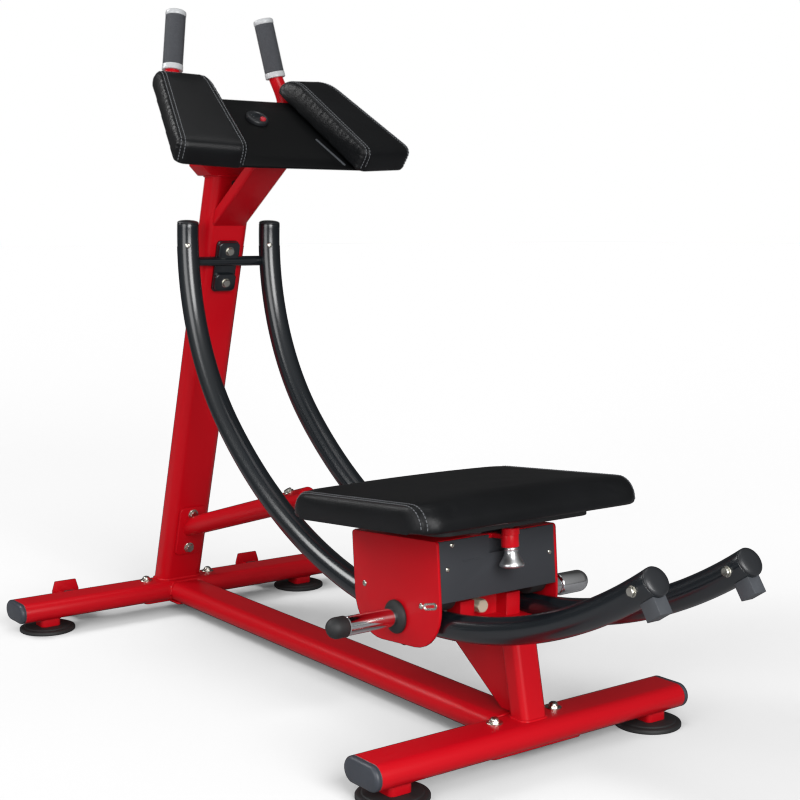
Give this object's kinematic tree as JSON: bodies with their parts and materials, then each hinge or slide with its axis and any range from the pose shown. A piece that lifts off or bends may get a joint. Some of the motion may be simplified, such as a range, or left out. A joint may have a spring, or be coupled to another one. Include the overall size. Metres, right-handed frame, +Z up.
{
  "type": "ab crunch machine",
  "caption": "Kneeling ab crunch machine with a curved rail, rolling padded seat carriage, tilted forearm pads with handles and side weight posts",
  "frame": {"origin": "middle of the bounding box's underside, on the floor", "axes": "+X from the mast towards the front of the rails, +Y to the side that holds the right-hand pad, +Z up"},
  "size_m": [1.7116, 0.8056, 1.3235],
  "materials": {
    "frame_red": "glossy powder coat",
    "rail_black": "glossy powder coat",
    "cap_plastic": "satin moulded",
    "rubber_black": "matte",
    "pad_leather": "satin synthetic leather",
    "grip_texture": "textured foam rubber",
    "chrome": "polished",
    "cover_grey": "satin",
    "board": "matte",
    "button_red": "glossy"
  },
  "bodies": {
    "frame": {"rear_crossbar": "frame_red", "front_crossbar": "frame_red", "main_beam": "frame_red", "mast": "frame_red", "head_mount": "frame_red", "head_brace": "frame_red", "rail_strut": "frame_red", "rail_tie": "frame_red", "front_post": "frame_red", "rail_saddle": "frame_red", "handle_left": "frame_red", "handle_right": "frame_red", "wheel_fork_left": "frame_red", "wheel_fork_right": "frame_red", "rail_left": "rail_black", "rail_right": "rail_black", "rail_top_bracket": "rail_black", "head_plate": "rail_black", "rear_cap_left": "cap_plastic", "rear_cap_right": "cap_plastic", "front_cap_left": "cap_plastic", "front_cap_right": "cap_plastic", "rail_top_cap_left": "cap_plastic", "rail_top_cap_right": "cap_plastic", "rail_front_cap_left": "cap_plastic", "rail_front_cap_right": "cap_plastic", "end_stop_left": "cap_plastic", "end_stop_right": "cap_plastic", "counter_body": "cap_plastic", "rear_foot_left": "rubber_black", "rear_foot_right": "rubber_black", "front_foot_left": "rubber_black", "front_foot_right": "rubber_black", "arm_pad_left": "pad_leather", "arm_pad_right": "pad_leather", "grip_left": "grip_texture", "grip_right": "grip_texture"},
    "carriage": {"side_plate_left": "frame_red", "side_plate_right": "frame_red", "carriage_deck": "frame_red", "front_cover": "cover_grey", "weight_post_left": "chrome", "weight_post_right": "chrome", "post_collar_left": "rubber_black", "post_collar_right": "rubber_black", "post_cap_left": "rubber_black", "post_cap_right": "chrome"},
    "seat": {"swivel_bearing": "rail_black", "seat_board": "board", "seat_pad": "pad_leather"},
    "pull_pin": {"pull_pin": "chrome"},
    "counter_button": {"counter_button": "button_red"},
    "roller_upper_rear_left": {"roller_upper_rear_left": "rubber_black"},
    "roller_upper_front_left": {"roller_upper_front_left": "rubber_black"},
    "roller_lower_left": {"roller_lower_left": "rubber_black"},
    "transport_wheel_left": {"transport_wheel_left": "rubber_black"},
    "roller_upper_rear_right": {"roller_upper_rear_right": "rubber_black"},
    "roller_upper_front_right": {"roller_upper_front_right": "rubber_black"},
    "roller_lower_right": {"roller_lower_right": "rubber_black"},
    "transport_wheel_right": {"transport_wheel_right": "rubber_black"}
  },
  "joints": [
    {"name": "carriage_roll", "type": "hinge", "parent": "frame", "child": "carriage", "pos_m": [0.29923, 0, 1.148], "axis": [0, 1, 0], "range_deg": [-24, 36]},
    {"name": "roller_upper_rear_left_spin", "type": "hinge", "parent": "carriage", "child": "roller_upper_rear_left", "pos_m": [0.19184, -0.101, 0.27337], "axis": [0, 1, 0], "continuous": true},
    {"name": "roller_upper_front_left_spin", "type": "hinge", "parent": "carriage", "child": "roller_upper_front_left", "pos_m": [0.3515, -0.101, 0.26835], "axis": [0, 1, 0], "continuous": true},
    {"name": "roller_lower_left_spin", "type": "hinge", "parent": "carriage", "child": "roller_lower_left", "pos_m": [0.27227, -0.105, 0.18258], "axis": [0, 1, 0], "continuous": true},
    {"name": "transport_wheel_left_spin", "type": "hinge", "parent": "frame", "child": "transport_wheel_left", "pos_m": [-0.82876, -0.24, 0.037], "axis": [0, 1, 0], "continuous": true},
    {"name": "roller_upper_rear_right_spin", "type": "hinge", "parent": "carriage", "child": "roller_upper_rear_right", "pos_m": [0.19184, 0.101, 0.27337], "axis": [0, 1, 0], "continuous": true},
    {"name": "roller_upper_front_right_spin", "type": "hinge", "parent": "carriage", "child": "roller_upper_front_right", "pos_m": [0.3515, 0.101, 0.26835], "axis": [0, 1, 0], "continuous": true},
    {"name": "roller_lower_right_spin", "type": "hinge", "parent": "carriage", "child": "roller_lower_right", "pos_m": [0.27227, 0.105, 0.18258], "axis": [0, 1, 0], "continuous": true},
    {"name": "transport_wheel_right_spin", "type": "hinge", "parent": "frame", "child": "transport_wheel_right", "pos_m": [-0.82876, 0.24, 0.037], "axis": [0, 1, 0], "continuous": true},
    {"name": "seat_swivel", "type": "hinge", "parent": "carriage", "child": "seat", "pos_m": [0.2935, 0, 0.36914], "axis": [-0.0785, 0, 0.9969], "range_deg": [-30, 30]},
    {"name": "pull_pin_slide", "type": "slide", "parent": "carriage", "child": "pull_pin", "axis": [0.0785, 0, -0.9969], "range_m": [0, 0.01], "stiffness_N_per_m": 600, "springref_m": -0.01},
    {"name": "counter_button_press", "type": "slide", "parent": "frame", "child": "counter_button", "axis": [-0.5736, 0, -0.8192], "range_m": [0, 0.0022], "stiffness_N_per_m": 300, "springref_m": -0.001}
  ],
  "couplings": [
    {"joint": "roller_upper_rear_left_spin", "follows": "carriage_roll", "ratio": -36.26},
    {"joint": "roller_upper_front_left_spin", "follows": "carriage_roll", "ratio": -36.26},
    {"joint": "roller_lower_left_spin", "follows": "carriage_roll", "ratio": 67.964},
    {"joint": "roller_upper_rear_right_spin", "follows": "carriage_roll", "ratio": -36.26},
    {"joint": "roller_upper_front_right_spin", "follows": "carriage_roll", "ratio": -36.26},
    {"joint": "roller_lower_right_spin", "follows": "carriage_roll", "ratio": 67.964}
  ]
}
